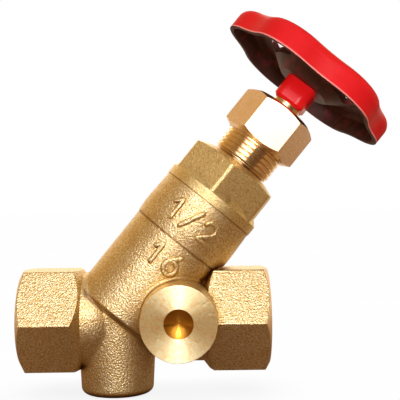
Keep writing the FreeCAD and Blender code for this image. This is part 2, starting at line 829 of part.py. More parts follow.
def make_gland_nut():
    """Cap nut over the neck, chamfered at both ends, one flat towards the front."""
    body = new_body("gland_nut")
    foot = dim.gland_nut_foot
    hexagon(body, "nut_blank", gland_nut_corner, dim.gland_nut_height, (0, 0, foot), Rotation())
    outside = gland_nut_corner + OVERRUN
    slope = (outside - dim.gland_nut_face_radius) * tangent(dim.gland_nut_chamfer_angle)
    turned(body, "foot_chamfer",
           [(dim.gland_nut_face_radius, foot), (outside, foot), (outside, foot + slope)], cut=True)
    turned(body, "top_chamfer",
           [(dim.gland_nut_face_radius, gland_nut_top), (outside, gland_nut_top),
            (outside, gland_nut_top - slope)], cut=True)
    bore = dim.neck_radius + dim.seating_clearance
    turned(body, "bore",
           [(0, foot - OVERRUN), (bore, foot - OVERRUN), (bore, gland_nut_roof),
            (stem_bore_radius, gland_nut_roof), (stem_bore_radius, gland_nut_top + OVERRUN),
            (0, gland_nut_top + OVERRUN)], cut=True)
    return body


# ---------------------------------------------------------------- spindle and valve disc

def make_stem():
    """Spindle: head held in the disc, relief, screw thread, plain shaft and driving square."""
    body = new_body("stem")
    turned(body, "shaft",
           [(0, head_foot), (dim.stem_head_radius, head_foot), (dim.stem_head_radius, head_top),
            (dim.stem_relief_radius, head_top),
            (dim.stem_relief_radius, dim.stem_thread_foot - dim.stem_thread_runout),
            (dim.stem_thread_radius, dim.stem_thread_foot),
            (dim.stem_thread_radius, stem_thread_top), (dim.stem_radius, stem_runout_top),
            (dim.stem_radius, stem_top), (0, stem_top)])
    square = new_sketch(body, "square_sides", "XY_Plane")
    turn_sketch(square, hub_foot, hub_heading)
    draw_rectangle(square, 3 * dim.stem_radius, 3 * dim.stem_radius)
    draw_rectangle(square, dim.square_flats, dim.square_flats)
    extruded(body, "driving_square", square, "Pocket", stem_top - hub_foot, reverse=True)
    hole = dim.screw_radius + dim.seating_clearance
    turned(body, "screw_hole",
           [(0, stem_top - dim.screw_hole_depth), (hole, stem_top - dim.screw_hole_depth),
            (hole, stem_top + OVERRUN), (0, stem_top + OVERRUN)], cut=True)
    return body


def make_disc_holder():
    """Valve disc: skirt round the seal, flange, socket for the spindle head and clamping stud."""
    body = new_body("disc_holder")
    skirt = dim.disc_radius - dim.disc_skirt_wall
    stud_foot = dim.seat_station - dim.disc_stud_length
    turned(body, "disc",
           [(0, stud_foot), (dim.disc_stud_radius, stud_foot), (dim.disc_stud_radius, seal_top),
            (skirt, seal_top), (skirt, disc_foot), (dim.disc_radius, disc_foot),
            (dim.disc_radius, disc_flange_top), (dim.disc_hub_radius, disc_flange_top),
            (dim.disc_hub_radius, disc_top), (0, disc_top)])
    head = dim.stem_head_radius + dim.running_clearance
    nut = dim.lock_nut_radius + dim.seating_clearance
    turned(body, "head_socket",
           [(0, disc_socket_floor), (head, disc_socket_floor), (head, lock_nut_foot),
            (nut, lock_nut_foot), (nut, disc_top + OVERRUN), (0, disc_top + OVERRUN)], cut=True)
    return body


def make_disc_seal():
    return make_ring("disc_seal", dim.disc_stud_radius + dim.seating_clearance,
                     dim.disc_radius - dim.disc_skirt_wall - dim.seating_clearance,
                     dim.seat_station, dim.seal_thickness)


def make_seal_washer():
    return make_ring("seal_washer", dim.disc_stud_radius + dim.seating_clearance,
                     dim.seal_washer_radius, seal_washer_foot, dim.seal_washer_thickness)


def make_seal_nut():
    body = new_body("seal_nut")
    hexagon(body, "nut_blank", dim.seal_nut_flats / 2 * HEX_CORNER, dim.seal_nut_height,
            (0, 0, seal_nut_foot), Rotation())
    bore = dim.disc_stud_radius + dim.seating_clearance
    foot = seal_nut_foot - OVERRUN
    top = seal_washer_foot + OVERRUN
    turned(body, "bore", [(0, foot), (bore, foot), (bore, top), (0, top)], cut=True)
    return body


def make_disc_lock_nut():
    """Ring nut over the spindle head, with a slot across its top for a pin spanner."""
    body = make_ring("disc_lock_nut", lock_nut_bore, dim.lock_nut_radius, lock_nut_foot,
                     dim.lock_nut_height)
    slot = new_sketch(body, "spanner_slot_section", "XY_Plane")
    turn_sketch(slot, lock_nut_top - dim.lock_nut_slot_depth, 0)
    draw_rectangle(slot, 3 * dim.lock_nut_radius, dim.lock_nut_slot_width)
    extruded(body, "spanner_slot", slot, "Pocket", dim.lock_nut_slot_depth + OVERRUN,
             reverse=True)
    return body


# ---------------------------------------------------------------- handwheel and its fastening

def patterned(body, name, originals, count):
    """Repeat features round the body's Z axis."""
    pattern = body.newObject("PartDesign::PolarPattern", name)
    pattern.Originals = originals
    pattern.Axis = (origin_plane(body, "Z_Axis"), [""])
    pattern.Angle = 360.0
    bind(pattern, "Occurrences", count)
    body.Tip = pattern
    return pattern


def draw_rim_sector(sketch, inset):
    """One crest with half a flute at each side, closed at the axis; inset gives the inner face."""
    crest = crest_radius - inset
    flute = flute_radius + inset
    arcs_apart = crest_radius + flute_radius
    meet_x = (crest_centre * flute + flute_centre * cosine(flute_half) * crest) / arcs_apart
    meet_y = flute_centre * sine(flute_half) * crest / arcs_apart
    valley_x = (rim_valley - inset) * cosine(flute_half)
    valley_y = (rim_valley - inset) * sine(flute_half)
    corners = [(as_size(0), as_size(0)), (valley_x, -valley_y), (meet_x, -meet_y),
               (meet_x, meet_y), (valley_x, valley_y)]
    axis, first_valley, first_meet, second_meet, second_valley = corners
    flute_x = flute_centre * cosine(flute_half)
    flute_y = flute_centre * sine(flute_half)
    # each edge, its radius if it is an arc, and which of its ends comes first round the outline
    edges = [
        (line_between(axis, first_valley), None, 1),
        (arc_between((flute_x, -flute_y), flute, first_meet, first_valley), flute, 2),
        (arc_between((crest_centre, as_size(0)), crest, first_meet, second_meet), crest, 1),
        (arc_between((flute_x, flute_y), flute, second_valley, second_meet), flute, 2),
        (line_between(second_valley, axis), None, 1)]
    for geometry, radius, near_end in edges:
        sketch.addGeometry(geometry, False)
    for index, (geometry, radius, near_end) in enumerate(edges):
        following = (index + 1) % len(edges)
        sketch.addConstraint(Sketcher.Constraint("Coincident", index, 3 - near_end,
                                                 following, edges[following][2]))
        for kind, size in zip(("DistanceX", "DistanceY"), corners[index]):
            constrain(sketch, size, kind, -1, 1, index, near_end)
        if radius is not None:
            constrain(sketch, radius, "Radius", index)


def add_rim_form(body, name, kind, inset, foot, height):
    """The fluted form, made from one sector repeated round the wheel, added or cut."""
    section = new_sketch(body, f"{name}_section", "XY_Plane")
    turn_sketch(section, foot, dim.wheel_clocking - 90 + flute_half)
    draw_rim_sector(section, inset)
    sector = extruded(body, f"{name}_sector", section, kind, height, reverse=kind == "Pocket")
    doc.recompute()
    return patterned(body, name, [sector], dim.wheel_flute_count)


def add_fluted_rim(body):
    """Fluted drum, rounded at its crown, then hollowed from below to the sheet's thickness."""
    drum = add_rim_form(body, "rim_drum", "Pad", as_size(0), wheel_free_edge, dim.wheel_rim_height)
    rounded(body, "crown_edge", drum, dim.wheel_rim_round, flat_at(wheel_crown))
    hollow = add_rim_form(body, "rim_hollow", "Pocket", dim.sheet_thickness,
                          wheel_free_edge - OVERRUN, web_underside - wheel_free_edge + OVERRUN)
    bevelled(body, "inner_bevel", hollow, dim.wheel_inner_bevel, flat_at(web_underside))


def add_dish(body):
    """Dished web: flat floor round the hub, cone up to the crown."""
    floor = dim.dish_floor_radius
    mouth = dim.dish_mouth_radius
    inset = dim.sheet_thickness / 2
    turned(body, "dish_outside",
           [(0, dish_underside), (floor, dish_underside), (mouth, web_underside),
            (mouth, wheel_crown), (0, wheel_crown)])
    turned(body, "dish_inside",
           [(0, dish_floor), (floor - inset, dish_floor), (mouth - inset, wheel_crown),
            (mouth - inset, wheel_crown + OVERRUN), (0, wheel_crown + OVERRUN)], cut=True)


def cut_windows(body):
    """Kidney windows through the dish: a ring sector closed by a round end at each side."""
    inner = dim.window_inner_radius
    outer = dim.window_outer_radius
    foot = dish_underside - OVERRUN
    top = wheel_crown + OVERRUN
    section = new_sketch(body, "window_section")
    section.AttachmentOffset = Placement(Vector(), Rotation(Vector(0, 1, 0), window_heading.value))
    bind(section, "AttachmentOffset.Rotation.Angle", window_heading)
    draw_outline(section, [(inner, foot), (outer, foot), (outer, top), (inner, top)])
    sector = body.newObject("PartDesign::Groove", "window_sector")
    sector.Profile = section
    sector.ReferenceAxis = (section, ["V_Axis"])
    sector.Midplane = True
    bind(sector, "Angle", dim.window_span)
    ends = []
    middle = (inner + outer) / 2
    for side, name in ((-1, "window_start"), (1, "window_end")):
        heading = window_heading + side * dim.window_span / 2
        ends.append(block(body, "SubtractiveCylinder", name,
                          {"Radius": (outer - inner) / 2, "Height": top - foot},
                          (middle * cosine(heading), middle * sine(heading), foot)))
    doc.recompute()
    patterned(body, "windows", [sector] + ends, dim.window_count)


def add_hub(body):
    """Square drawn hub under the dish, with its driving hole."""
    section = new_sketch(body, "hub_section", "XY_Plane")
    turn_sketch(section, dish_floor, hub_heading)
    draw_rectangle(section, hub_flats, hub_flats)
    hub = extruded(body, "hub", section, "Pad", dim.hub_length + dim.sheet_thickness, reverse=True)
    sides = rounded(body, "hub_corners", hub, dim.hub_corner_radius,
                    upright_at(hub_flats / math.sqrt(2)))
    bevelled(body, "hub_foot_edge", sides, dim.hub_edge_bevel, flat_at(hub_foot))
    hole = new_sketch(body, "square_hole_section", "XY_Plane")
    turn_sketch(hole, hub_foot, hub_heading)
    draw_rectangle(hole, square_hole, square_hole)
    extruded(body, "square_hole", hole, "Pocket", dim.hub_length + 2 * dim.sheet_thickness,
             reverse=True)


def make_handwheel():
    """One pressed steel sheet: fluted skirt, crown, dished web with windows, drawn square hub."""
    body = new_body("handwheel")
    add_fluted_rim(body)
    add_dish(body)
    cut_windows(body)
    add_hub(body)
    return body


def make_wheel_fastening():
    """Plain washer, split lock washer and hexagon screw that hold the handwheel down."""
    hole = dim.screw_radius + 2 * dim.running_clearance
    washer = make_ring("handwheel_washer", hole, dim.washer_radius, dish_floor,
                       dim.washer_thickness)
    lock_washer = make_ring("handwheel_lock_washer", hole, dim.lock_washer_radius, washer_top,
                            dim.lock_washer_thickness)
    gap = new_sketch(lock_washer, "split_section", "XY_Plane")
    turn_sketch(gap, washer_top - OVERRUN, 0)
    half_gap = dim.lock_washer_gap / 2
    beyond = 2 * dim.lock_washer_radius
    draw_outline(gap, [(0, -half_gap), (beyond, -half_gap), (beyond, half_gap), (0, half_gap)])
    extruded(lock_washer, "split", gap, "Pocket", dim.lock_washer_thickness + 2 * OVERRUN,
             reverse=True)
    screw = new_body("handwheel_screw")
    hexagon(screw, "screw_head", dim.screw_head_flats / 2 * HEX_CORNER, dim.screw_head_height,
            (0, 0, lock_washer_top), Rotation())
    block(screw, "AdditiveCylinder", "shank",
          {"Radius": dim.screw_radius, "Height": dim.screw_length},
          (0, 0, lock_washer_top - dim.screw_length))
    return [washer, lock_washer, screw]


# ---------------------------------------------------------------- assembly and export

def make_all():
    parts = [make_body(), make_bonnet_gasket(), make_bonnet()]
    parts += make_packing()
    parts += [make_gland_follower(), make_gland_nut(), make_stem(), make_disc_holder(),
              make_disc_seal(), make_seal_washer(), make_seal_nut(), make_disc_lock_nut(),
              make_handwheel()]
    return parts + make_wheel_fastening()


def check(parts):
    """Stop if any feature failed or a sub-part has no valid solid."""
    for obj in doc.Objects:
        if "Invalid" in obj.State or "Error" in obj.State:
            raise RuntimeError(f"{obj.Name} failed: {obj.State}")
    for part in parts:
        shape = part.Shape
        if shape.isNull() or not shape.isValid() or not shape.Solids:
            raise RuntimeError(f"{part.Label} has no valid solid")


def main():
    parts = make_all()
    doc.recompute()
    check(parts)
    os.makedirs("parts", exist_ok=True)
    for part in parts:
        part.Shape.exportStep(f"parts/{part.Label}.step")
        print(f"{part.Label}: {part.Shape.Volume:.1f} mm3, {len(part.Shape.Solids)} solid")


main()
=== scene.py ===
import math

import bmesh
import bpy
from mathutils import Matrix, Vector
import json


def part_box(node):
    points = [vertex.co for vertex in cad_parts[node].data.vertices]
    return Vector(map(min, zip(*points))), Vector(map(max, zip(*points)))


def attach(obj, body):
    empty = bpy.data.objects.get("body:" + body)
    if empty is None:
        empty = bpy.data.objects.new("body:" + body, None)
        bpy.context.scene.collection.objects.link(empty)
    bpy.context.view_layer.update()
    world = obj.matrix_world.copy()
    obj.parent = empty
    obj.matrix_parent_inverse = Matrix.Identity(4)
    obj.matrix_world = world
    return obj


# Oblique-seat stop valve, dressed over its CAD frame.  Everything is in metres, in the CAD frame:
# origin at the centre of the inlet end face, +X along the pipe to the outlet, +Z up.
# A station is a distance along the spindle's axis, from the point where it meets the pipe's axis.

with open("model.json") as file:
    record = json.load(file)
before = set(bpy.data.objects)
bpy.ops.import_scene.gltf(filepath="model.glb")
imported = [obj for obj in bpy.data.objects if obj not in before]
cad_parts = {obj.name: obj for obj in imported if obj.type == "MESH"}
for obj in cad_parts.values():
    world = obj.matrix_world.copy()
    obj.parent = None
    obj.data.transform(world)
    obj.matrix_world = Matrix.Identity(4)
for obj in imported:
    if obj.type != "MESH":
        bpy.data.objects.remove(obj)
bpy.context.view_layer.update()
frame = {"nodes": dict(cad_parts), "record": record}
nodes = frame["nodes"]

MM = 0.001
FACE_TO_FACE = 65.0                            # inlet end face to outlet end face, in millimetres
TILT = math.radians(39.5)                      # the spindle axis leans this far from +Z to +X
STEM_FOOT = Vector((24.5 * MM, 0, 0))
STEM = Matrix.Translation(STEM_FOOT) @ Matrix.Rotation(TILT, 4, "Y")
INLET = Matrix.Rotation(math.radians(90), 4, "Y")
OUTLET = (Matrix.Translation((FACE_TO_FACE * MM, 0, 0)) @ Matrix.Rotation(math.pi, 4, "Z") @ INLET)
BOSS_CENTRE = Vector((41.5, -21.5, 1.0)) * MM
BOSS = Matrix.Translation(BOSS_CENTRE) @ Matrix.Rotation(math.radians(90), 4, "X")

# axes as direction and origin
PIPE_AXIS = ((1, 0, 0), (0, 0, 0))
DEPTH_AXIS = ((0, 1, 0), (0, 0, 0))
SPINDLE_AXIS = (STEM.to_3x3() @ Vector((0, 0, 1)), STEM_FOOT)
BOSS_AXIS = ((0, 1, 0), BOSS_CENTRE)

# stations, in millimetres
FOOT_LINE = 1.35                               # painted shade where the barrel leaves the pipe
COLLAR_LINE = 26.45                            # step from the barrel to its collar
BONNET_JOINT = 39.2
NECK_FOOT = 52.2                               # the bonnet is turned above this
WHEEL_LIP = 79.8                               # free edge of the handwheel


# ---------------------------------------------------------------- node helpers

class Nodes:
    """A node tree, with short calls for the nodes used here."""

    def __init__(self, tree):
        self.tree = tree

    def put(self, socket, value):
        """Link a socket to another one, or give it a value."""
        if isinstance(value, bpy.types.NodeSocket):
            self.tree.links.new(value, socket)
        elif socket.type == "RGBA":
            socket.default_value = (*value, 1.0)
        else:
            socket.default_value = value

    def add(self, kind, **inputs):
        node = self.tree.nodes.new(kind)
        for name, value in inputs.items():
            self.put(node.inputs[name.replace("_", " ")], value)
        return node

    def coordinate(self, name):
        return self.tree.nodes.new("ShaderNodeTexCoord").outputs[name]

    def camera_ray(self):
        return self.tree.nodes.new("ShaderNodeLightPath").outputs["Is Camera Ray"]

    def math(self, operation, *values):
        """A chain of one operation over all the values."""
        total = values[0]
        for value in values[1:]:
            node = self.tree.nodes.new("ShaderNodeMath")
            node.operation = operation
            self.put(node.inputs[0], total)
            self.put(node.inputs[1], value)
            total = node.outputs[0]
        return total

    def times(self, *values):
        return self.math("MULTIPLY", *values)

    def plus(self, *values):
        return self.math("ADD", *values)

    def most(self, *values):
        return self.math("MAXIMUM", *values)

    def apart(self, value, centre):
        """How far a value is from a centre, to either side."""
        return self.math("ABSOLUTE", self.math("SUBTRACT", value, centre), 0.0)

    def vector_math(self, operation, first, second=None, output="Vector"):
        node = self.tree.nodes.new("ShaderNodeVectorMath")
        node.operation = operation
        self.put(node.inputs[0], first)
        if second is not None:
            self.put(node.inputs[1], second)
        return node.outputs[output]

    def dot(self, first, second):
        return self.vector_math("DOT_PRODUCT", first, second, "Value")

    def vector(self, first, second):
        node = self.tree.nodes.new("ShaderNodeCombineXYZ")
        self.put(node.inputs[0], first)
        self.put(node.inputs[1], second)
        return node.outputs[0]

    def fit(self, value, low, high, to_low=0.0, to_high=1.0, interpolation="LINEAR"):
        """Map a range to another one, and stay inside it."""
        node = self.add("ShaderNodeMapRange", Value=value, From_Min=low, From_Max=high,
                        To_Min=to_low, To_Max=to_high)
        node.interpolation_type = interpolation
        return node.outputs["Result"]

    def blend(self, factor, first, second):
        """Mix two colours."""
        node = self.tree.nodes.new("ShaderNodeMix")
        node.data_type = "RGBA"
        for index, value in ((0, factor), (6, first), (7, second)):
            self.put(node.inputs[index], value)
        return node.outputs[2]

    def place(self):
        """Object coordinates in millimetres."""
        node = self.add("ShaderNodeMapping", Vector=self.coordinate("Object"), Scale=[1 / MM] * 3)
        return node.outputs["Vector"]

    def noise(self, vector, scale, detail=3.0, roughness=0.55, distortion=0.0):
        node = self.add("ShaderNodeTexNoise", Vector=vector, Scale=scale, Detail=detail,
                        Roughness=roughness, Distortion=distortion)
        return node.outputs["Fac"]

    def cells(self, vector, scale, feature="F1"):
        node = self.add("ShaderNodeTexVoronoi", Vector=vector, Scale=scale)
        node.feature = feature
        return node.outputs["Distance"]

    def open_air(self, distance):
        """0 where other surfaces within a distance shut a point in, 1 in the open."""
        node = self.add("ShaderNodeAmbientOcclusion", Distance=distance)
        node.samples = 8
        return node.outputs["AO"]

    def bump(self, height, distance, strength):
        node = self.add("ShaderNodeBump", Height=height, Distance=distance, Strength=strength)
        return node.outputs["Normal"]

    def from_point(self, origin):
        return self.vector_math("SUBTRACT", self.coordinate("Object"), origin)

    def along(self, direction, origin):
        """Distance from an origin along a direction, in millimetres."""
        return self.dot(self.from_point(origin), Vector(direction).normalized() / MM)

    def around(self, direction, origin):
        """Vector that runs round an axis, as long as the distance from it in metres."""
        return self.vector_math("CROSS_PRODUCT", self.from_point(origin),
                                Vector(direction).normalized())

    def radius(self, direction, origin):
        """Distance from an axis, in millimetres."""
        length = self.vector_math("LENGTH", self.around(direction, origin), output="Value")
        return self.times(length, 1 / MM)

    def facing(self, direction):
        """How far the surface faces a direction: 1 where it looks straight that way."""
        return self.dot(self.coordinate("Normal"), Vector(direction).normalized())

    def facing_axis(self, direction, origin):
        """How far the surface faces an axis: 1 where it looks straight at it."""
        outward = self.vector_math("CROSS_PRODUCT", Vector(direction).normalized(),
                                   self.around(direction, origin))
        unit = self.vector_math("NORMALIZE", outward)
        return self.times(self.dot(self.coordinate("Normal"), unit), -1.0)


class Material(Nodes):
    """A new material, built in front of its principled shader."""

    def __init__(self, name):
        self.material = bpy.data.materials.new(name)
        self.material.use_nodes = True
        super().__init__(self.material.node_tree)
        self.shader = self.tree.nodes["Principled BSDF"]
        self.output = self.tree.nodes["Material Output"]

    def finish(self, colour, roughness, normal=None, metallic=1.0):
        self.put(self.shader.inputs["Base Color"], colour)
        self.put(self.shader.inputs["Roughness"], roughness)
        self.shader.inputs["Metallic"].default_value = metallic
        if normal is not None:
            self.put(self.shader.inputs["Normal"], normal)
        return self.material


def shade(colour, factor):
    return [factor * part for part in colour]


# ---------------------------------------------------------------- materials

# dark brown of the bonnet joint, also used for the painted shade in the step to the collar
JOINT_AND_SHADE_BROWN = (0.30, 0.15, 0.05)


def crevices(n, distance):
    """0 in tight corners, 1 in the open."""
    return n.fit(n.open_air(distance), 0.35, 0.95)


def line_at(n, station, full, end):
    """Strong on a fine line round the barrel at a station, 0 away from it.

    Full and end are the half widths between which the line fades out.
    """
    barrel_ends = (14.3, 14.1)                 # radii just outside the barrel
    away = n.apart(n.along(*SPINDLE_AXIS), station)
    on_barrel = n.fit(n.radius(*SPINDLE_AXIS), *barrel_ends)
    return n.times(n.fit(away, end, full, 0.0, 0.75), on_barrel)


def cast_brass():
    """Sand-blasted casting: coarse grain, painted shade in its corners, and turned end faces."""
    n = Material("cast_brass")
    place = n.place()
    grain = n.noise(place, 2.5, detail=2.0)
    pits = n.cells(place, 2.2, "SMOOTH_F1")
    broad = n.noise(place, 0.16, detail=2.0)
    open_air = crevices(n, 2.6 * MM)
    # the turned faces and 30 degree cones at both ends of the pipe run
    cone_slope = 0.577
    cone_starts = (39.45, 39.6)                # distance from the middle plus slope times radius
    ends_start = (29.5, 29.6)                  # distance from the middle
    from_middle = n.apart(n.along(*PIPE_AXIS), FACE_TO_FACE / 2)
    cone = n.plus(from_middle, n.times(n.radius(*PIPE_AXIS), cone_slope))
    turned = n.times(n.fit(cone, *cone_starts), n.fit(from_middle, *ends_start))
    bright = n.blend(n.fit(grain, 0.36, 0.64), (0.62, 0.41, 0.12), (1.00, 0.89, 0.58))
    warm = n.blend(n.fit(broad, 0.35, 0.65, 0.0, 0.35), bright, (0.74, 0.50, 0.22))
    # painted shade and reflected light: deep orange where nearby surfaces close a point in, dark
    # brown in tight corners
    painted_shade_and_joint = n.blend(n.fit(open_air, 0.35, 1.0), (0.70, 0.47, 0.15), warm)
    painted_shade_and_joint = n.blend(n.fit(open_air, 0.0, 0.52), (0.22, 0.10, 0.022), painted_shade_and_joint)
    # painted shade: a dark line in the step from the barrel to its collar; the next line is the
    # bonnet joint's own dark gap
    painted_shade_and_joint = n.blend(line_at(n, COLLAR_LINE, 0.10, 0.45), painted_shade_and_joint, JOINT_AND_SHADE_BROWN)
    painted_shade_and_joint = n.blend(line_at(n, BONNET_JOINT, 0.05, 0.22), painted_shade_and_joint, JOINT_AND_SHADE_BROWN)
    # painted shade: a dark line in the crevice at the barrel's foot, on its wall only
    wall_starts = (11.6, 12.6)                 # radii just inside the barrel's wall
    on_wall = n.fit(n.radius(*SPINDLE_AXIS), *wall_starts)
    painted_shade_and_joint = n.blend(n.times(line_at(n, FOOT_LINE, 0.35, 0.95), on_wall), painted_shade_and_joint, (0.22, 0.10, 0.03))
    colour = n.blend(turned, painted_shade_and_joint, (0.90, 0.70, 0.42))
    roughness = n.fit(grain, 0.3, 0.7, 0.46, 0.36)
    height = n.plus(n.times(grain, 0.8), n.times(pits, 0.4))
    height = n.times(height, n.fit(turned, 0.0, 1.0, 1.0, 0.04))
    return n.finish(colour, roughness, n.bump(height, 0.24 * MM, 0.8))


def pressed_brass():
    """Bonnet: finer blasted grain on the pressing, darker and smoother where its neck is turned."""
    n = Material("pressed_brass")
    place = n.place()
    turned = n.fit(n.along(*SPINDLE_AXIS), NECK_FOOT - 0.05, NECK_FOOT + 0.05)
    grain = n.noise(place, 2.6, roughness=0.6)
    stain = n.noise(place, 0.45)
    base = n.blend(n.fit(grain, 0.36, 0.64), (0.70, 0.51, 0.20), (1.0, 0.84, 0.43))
    base = n.blend(n.fit(stain, 0.60, 0.72, 0.0, 0.6), base, (0.40, 0.27, 0.12))
    # painted shade in the bonnet's corners
    base = n.blend(crevices(n, 1.6 * MM), (0.30, 0.15, 0.04), base)
    base = n.blend(line_at(n, BONNET_JOINT, 0.05, 0.22), base, JOINT_AND_SHADE_BROWN)
    colour = n.blend(turned, base, (0.45, 0.27, 0.12))
    roughness = n.fit(turned, 0.0, 1.0, 0.42, 0.13)
    height = n.times(grain, n.fit(turned, 0.0, 1.0, 1.0, 0.03))
    return n.finish(colour, roughness, n.bump(height, 0.18 * MM, 0.8))


def turned_brass(name, colour, tool_marks=0.35, roughness=0.24):
    """Bright turned brass: fine rings round the spindle axis and faint handling marks."""
    n = Material(name)
    place = n.place()
    rings = n.noise(n.vector(n.along(*SPINDLE_AXIS), n.radius(*SPINDLE_AXIS)), 9.0, detail=2.0)
    smear = n.noise(place, 0.5, detail=5.0, roughness=0.65, distortion=0.8)
    nicks = n.noise(place, 3.0, detail=1.0)
    tinted = n.blend(n.fit(smear, 0.3, 0.7), shade(colour, 0.93), colour)
    tinted = n.blend(n.fit(nicks, 0.72, 0.76), tinted, shade(colour, 0.6))
    rough = n.fit(smear, 0.3, 0.75, roughness - 0.05, roughness + 0.1)
    height = n.plus(n.times(rings, tool_marks), n.times(smear, 0.3))
    return n.finish(tinted, rough, n.bump(height, 0.02 * MM, 0.6))


def boss_brass():
    """Turned boss face: ring grooves that draw the light into a bow tie, and handling dents."""
    n = Material("boss_brass")
    place = n.place()
    cone_mouth = (3.68, 3.60)                  # radii across the edge of the drill point
    radius = n.radius(*BOSS_AXIS)
    rings = n.noise(n.vector(radius, 0.0), 7.0, detail=2.0)
    dents = n.fit(n.cells(place, 0.62), 0.10, 0.30)
    scuff = n.noise(place, 0.7, detail=4.0, distortion=1.8)
    in_cone = n.fit(radius, *cone_mouth)
    face = n.blend(n.fit(scuff, 0.35, 0.65), (0.96, 0.74, 0.34), (1.0, 0.94, 0.60))
    # painted shade: the drill point is a darker, deeper gold than the face around it
    colour = n.blend(in_cone, face, (0.55, 0.25, 0.03))
    roughness = n.fit(in_cone, 0.0, 1.0, 0.34, 0.22)
    height = n.plus(n.times(rings, 0.35), n.times(dents, 0.5))
    n.shader.inputs["Anisotropic"].default_value = 0.88
    n.shader.inputs["Anisotropic Rotation"].default_value = 0.25
    n.put(n.shader.inputs["Tangent"], n.around(*BOSS_AXIS))
    return n.finish(colour, roughness, n.bump(height, 0.05 * MM, 0.5))


def red_paint():
    """Glossy dip paint on pressed steel, with painted shade inside, a painted highlight along the
    lip, and a brighter hub in place of light.
    """
    n = Material("red_paint")
    place = n.place()
    sag = n.noise(place, 0.12, detail=2.0)
    orange_peel = n.noise(place, 1.1, detail=2.0)
    specks = n.noise(place, 2.2, detail=1.0)
    patches = n.noise(place, 0.35)
    station = n.along(*SPINDLE_AXIS)
    radius = n.radius(*SPINDLE_AXIS)
    upward = n.facing(SPINDLE_AXIS[0])
    inward = n.facing_axis(*SPINDLE_AXIS)
    # radii, in millimetres, over which one part of the wheel gives way to the next
    hub_ends, web_starts = (7.4, 6.8), (6.9, 7.6)
    web_ends, rim_starts = (19.8, 19.2), (20.0, 21.0)
    grip_starts = (21.6, 23.6)
    # where on the wheel a point is, by its radius, its station and the way that it faces
    hub = n.fit(radius, *hub_ends)
    web = n.times(n.fit(radius, *web_ends), n.fit(upward, 0.45, 0.2), n.fit(radius, *web_starts))
    rim = n.fit(radius, *rim_starts)
    skirt = n.times(n.fit(inward, 0.2, 0.5), rim)
    under = n.times(n.fit(upward, -0.15, -0.45), n.fit(station, WHEEL_LIP - 0.5, WHEEL_LIP - 0.2))
    lip = n.times(n.fit(station, WHEEL_LIP + 0.45, WHEEL_LIP + 0.2), rim,
                  n.fit(inward, -0.3, -0.6))
    grip = n.times(n.fit(radius, *grip_starts), n.fit(inward, 0.0, -0.2))
    # painted shade inside the skirt and under the web, dark red-brown with reddish patches; the hub
    # is painted a brighter red in place of the light that the rim keeps off it
    painted_shade_inside = n.blend(n.fit(patches, 0.50, 0.66), (0.074, 0.030, 0.024), (0.17, 0.034, 0.034))
    base = n.blend(n.fit(sag, 0.3, 0.7), (0.60, 0.004, 0.006), (0.67, 0.006, 0.009))
    base = n.blend(n.fit(specks, 0.76, 0.80), base, (0.42, 0.003, 0.005))
    # painted light: the hub is a brighter red than the rest of the wheel
    base = n.blend(hub, base, (0.95, 0.012, 0.015))
    # painted highlight: pale pink along the lip's rolled edge
    base = n.blend(n.times(lip, 0.6), base, (0.85, 0.42, 0.38))
    base = n.blend(n.most(web, skirt, under), base, painted_shade_inside)
    roughness = n.plus(n.fit(rim, 0.0, 1.0, 0.13, 0.33), n.times(n.most(grip, skirt, under), 0.40))
    height = n.plus(n.times(orange_peel, 0.25), sag)
    n.shader.inputs["Specular IOR Level"].default_value = 0.3
    return n.finish(base, roughness, n.bump(height, 0.35 * MM, 0.25), metallic=0.0)


def zinc_steel():
    """Zinc-plated fasteners: cool grey with a faint frost."""
    n = Material("zinc_steel")
    place = n.place()
    frost = n.noise(place, 2.6, detail=4.0)
    cloud = n.noise(place, 0.4, detail=2.0)
    colour = n.blend(n.fit(cloud, 0.3, 0.7), (0.60, 0.62, 0.64), (0.74, 0.75, 0.74))
    rough = n.fit(frost, 0.3, 0.7, 0.24, 0.40)
    return n.finish(colour, rough, n.bump(frost, 0.02 * MM, 0.5))


def dull(name, dark, light, roughness, grain, depth):
    """Packing, fibre and rubber: matt, slightly uneven, with a grain of its own."""
    n = Material(name)
    fleck = n.noise(n.place(), grain, detail=4.0, roughness=0.7)
    colour = n.blend(n.fit(fleck, 0.35, 0.65), dark, light)
    rough = n.fit(fleck, 0.3, 0.7, roughness - 0.06, roughness + 0.06)
    return n.finish(colour, rough, n.bump(fleck, depth * MM, 0.7), metallic=0.0)


MATERIALS = {
    "cast_brass": cast_brass(),
    "pressed_brass": pressed_brass(),
    "turned_brass": turned_brass("turned_brass", (0.88, 0.68, 0.49)),
    "spindle_brass": turned_brass("spindle_brass", (0.84, 0.62, 0.32), 0.6, 0.28),
    "red_paint": red_paint(),
    "zinc_steel": zinc_steel(),
    "packing": dull("packing", (0.03, 0.03, 0.032), (0.09, 0.09, 0.095), 0.7, 3.0, 0.08),
    "fibre": dull("fibre", (0.22, 0.06, 0.04), (0.40, 0.15, 0.10), 0.8, 2.4, 0.05),
    "seal_rubber": dull("seal_rubber", (0.012, 0.012, 0.012), (0.03, 0.03, 0.03), 0.62, 2.0, 0.02),
}
NECK_BRASS = turned_brass("neck_brass", (0.92, 0.71, 0.42), 0.2, 0.09)
BOSS_BRASS = boss_brass()

for part in frame["record"]["subparts"]:
    for holder in nodes[part["node"]].material_slots:
        holder.material = MATERIALS[part["material_slot"]]


# ---------------------------------------------------------------- meshes

